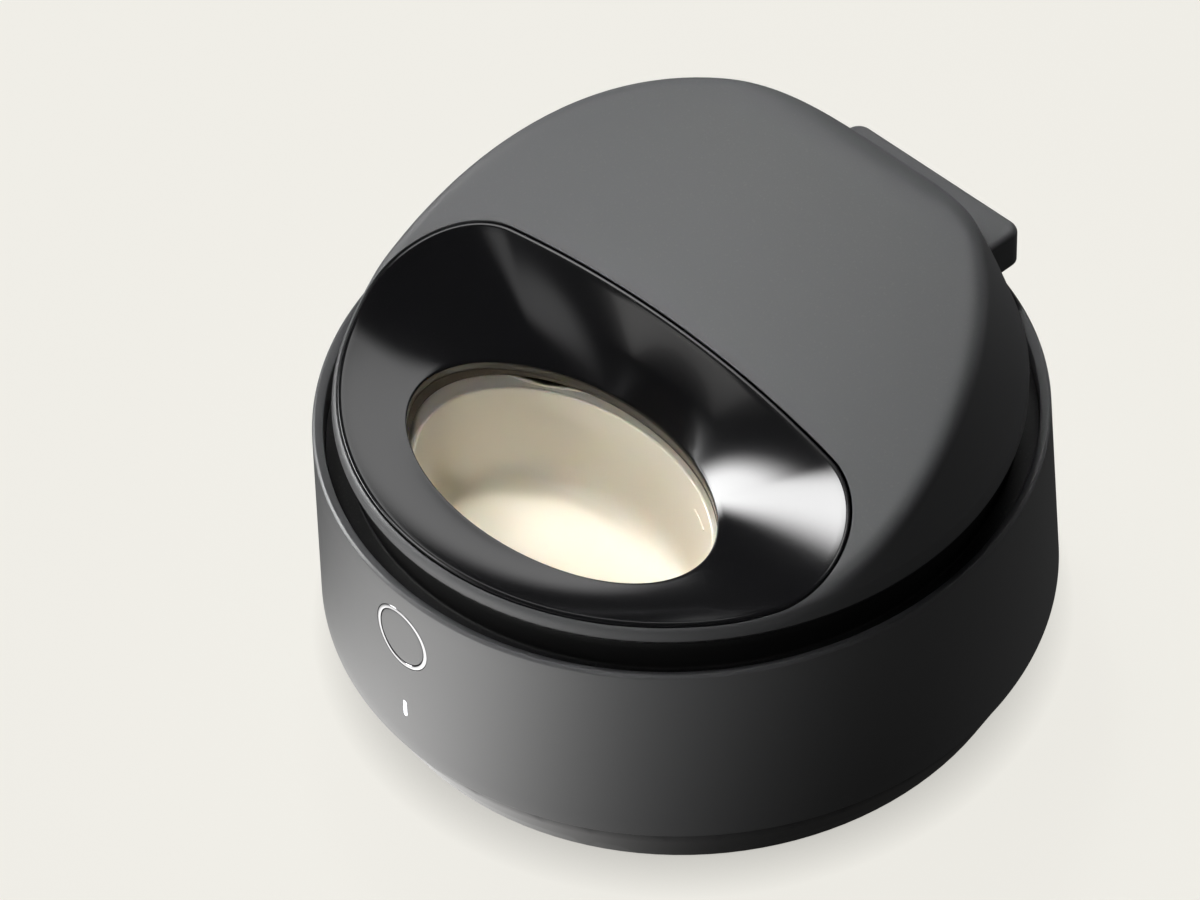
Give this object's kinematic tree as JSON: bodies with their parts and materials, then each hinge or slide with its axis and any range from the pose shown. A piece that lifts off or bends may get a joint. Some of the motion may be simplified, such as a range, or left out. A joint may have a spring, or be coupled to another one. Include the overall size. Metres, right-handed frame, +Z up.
{
  "type": "automatic wet food feeder",
  "caption": "Round table-top pet feeder: hinged lid with a dished scoop over a food opening, a rotary shutter, a turning tray of bowls, a cooled well and a front button.",
  "frame": {"origin": "centre of the round body, on the surface it stands on", "axes": "+Z up, front with the button and the scoop towards -Y, hinge at +Y, +X to the right seen from above with the front at the bottom"},
  "size_m": [0.3214, 0.3214, 0.1957],
  "materials": {
    "body_grey": "satin",
    "skirt_black": "matt",
    "foot_rubber": "matt",
    "screw_steel": "satin",
    "neck_black": "matt",
    "well_aluminium": "satin",
    "foam_white": "foamed",
    "bush_white": "satin",
    "gear_white": "satin",
    "motor_steel": "plated",
    "tray_ivory": "satin",
    "plate_aluminium": "machined",
    "tile_ceramic": "matt",
    "sink_aluminium": "extruded",
    "fan_black": "satin",
    "lid_black": "fine texture",
    "plate_black": "matt",
    "gasket_grey": "matt",
    "scoop_black": "gloss",
    "lip_brown": "matt",
    "shutter_grey": "satin",
    "pin_steel": "ground",
    "ring_chrome": "polished",
    "light_white": "frosted",
    "board_green": "lacquered",
    "switch_black": "satin"
  },
  "bodies": {
    "base": {"base_shell": "body_grey", "base_skirt": "skirt_black", "feet": "foot_rubber", "base_screws": "screw_steel", "neck_ring": "neck_black", "cooling_well": "well_aluminium", "insulation": "foam_white", "shaft_bush": "bush_white", "tray_motor": "motor_steel", "cold_plate": "plate_aluminium", "cooler_tile": "tile_ceramic", "heat_sink": "sink_aluminium", "fan_frame": "fan_black", "hinge_bracket": "neck_black", "hinge_pin": "pin_steel", "button_ring": "ring_chrome", "light_pipe": "light_white", "control_board": "board_green", "button_switch": "switch_black", "rear_grille": "skirt_black", "dc_inlet": "switch_black"},
    "lid": {"lid_shell": "lid_black", "lid_plate": "plate_black", "lid_gasket": "gasket_grey", "scoop_insert": "scoop_black", "opening_lip": "lip_brown", "motor_bridge": "plate_black", "shutter_motor": "motor_steel", "hinge_cover": "body_grey"},
    "shutter": {"shutter": "shutter_grey", "shutter_clip": "pin_steel"},
    "shutter_pinion": {"shutter_pinion": "gear_white"},
    "turntable": {"food_tray": "tray_ivory", "drive_hub": "bush_white", "tray_gear": "gear_white"},
    "tray_pinion": {"tray_pinion": "gear_white"},
    "fan": {"fan_rotor": "fan_black"},
    "button": {"front_button": "body_grey"}
  },
  "joints": [
    {"name": "lid_hinge", "type": "hinge", "parent": "base", "child": "lid", "pos_m": [0, 0.149, 0.134], "axis": [-1, 0, 0], "range_deg": [0, 75]},
    {"name": "shutter_swing", "type": "hinge", "parent": "lid", "child": "shutter", "pos_m": [0, 0, 0.117], "axis": [0, 0, 1], "range_deg": [0, 180]},
    {"name": "shutter_drive", "type": "hinge", "parent": "lid", "child": "shutter_pinion", "pos_m": [0, 0.0195, 0.12], "axis": [0, 0, 1], "range_deg": [-360, 0]},
    {"name": "tray_spin", "type": "hinge", "parent": "base", "child": "turntable", "pos_m": [0, 0, 0.06], "axis": [0, 0, 1], "continuous": true},
    {"name": "tray_drive", "type": "hinge", "parent": "base", "child": "tray_pinion", "pos_m": [-0.039, 0, 0.045], "axis": [0, 0, 1], "continuous": true},
    {"name": "fan_spin", "type": "hinge", "parent": "base", "child": "fan", "pos_m": [0, 0.072, 0.025], "axis": [0, 0, 1], "continuous": true},
    {"name": "button_press", "type": "slide", "parent": "base", "child": "button", "axis": [0, 1, 0], "range_m": [0, 0.0015], "stiffness_N_per_m": 400}
  ],
  "couplings": [
    {"joint": "shutter_drive", "follows": "shutter_swing", "ratio": -2},
    {"joint": "tray_drive", "follows": "tray_spin", "ratio": -3.3333}
  ]
}
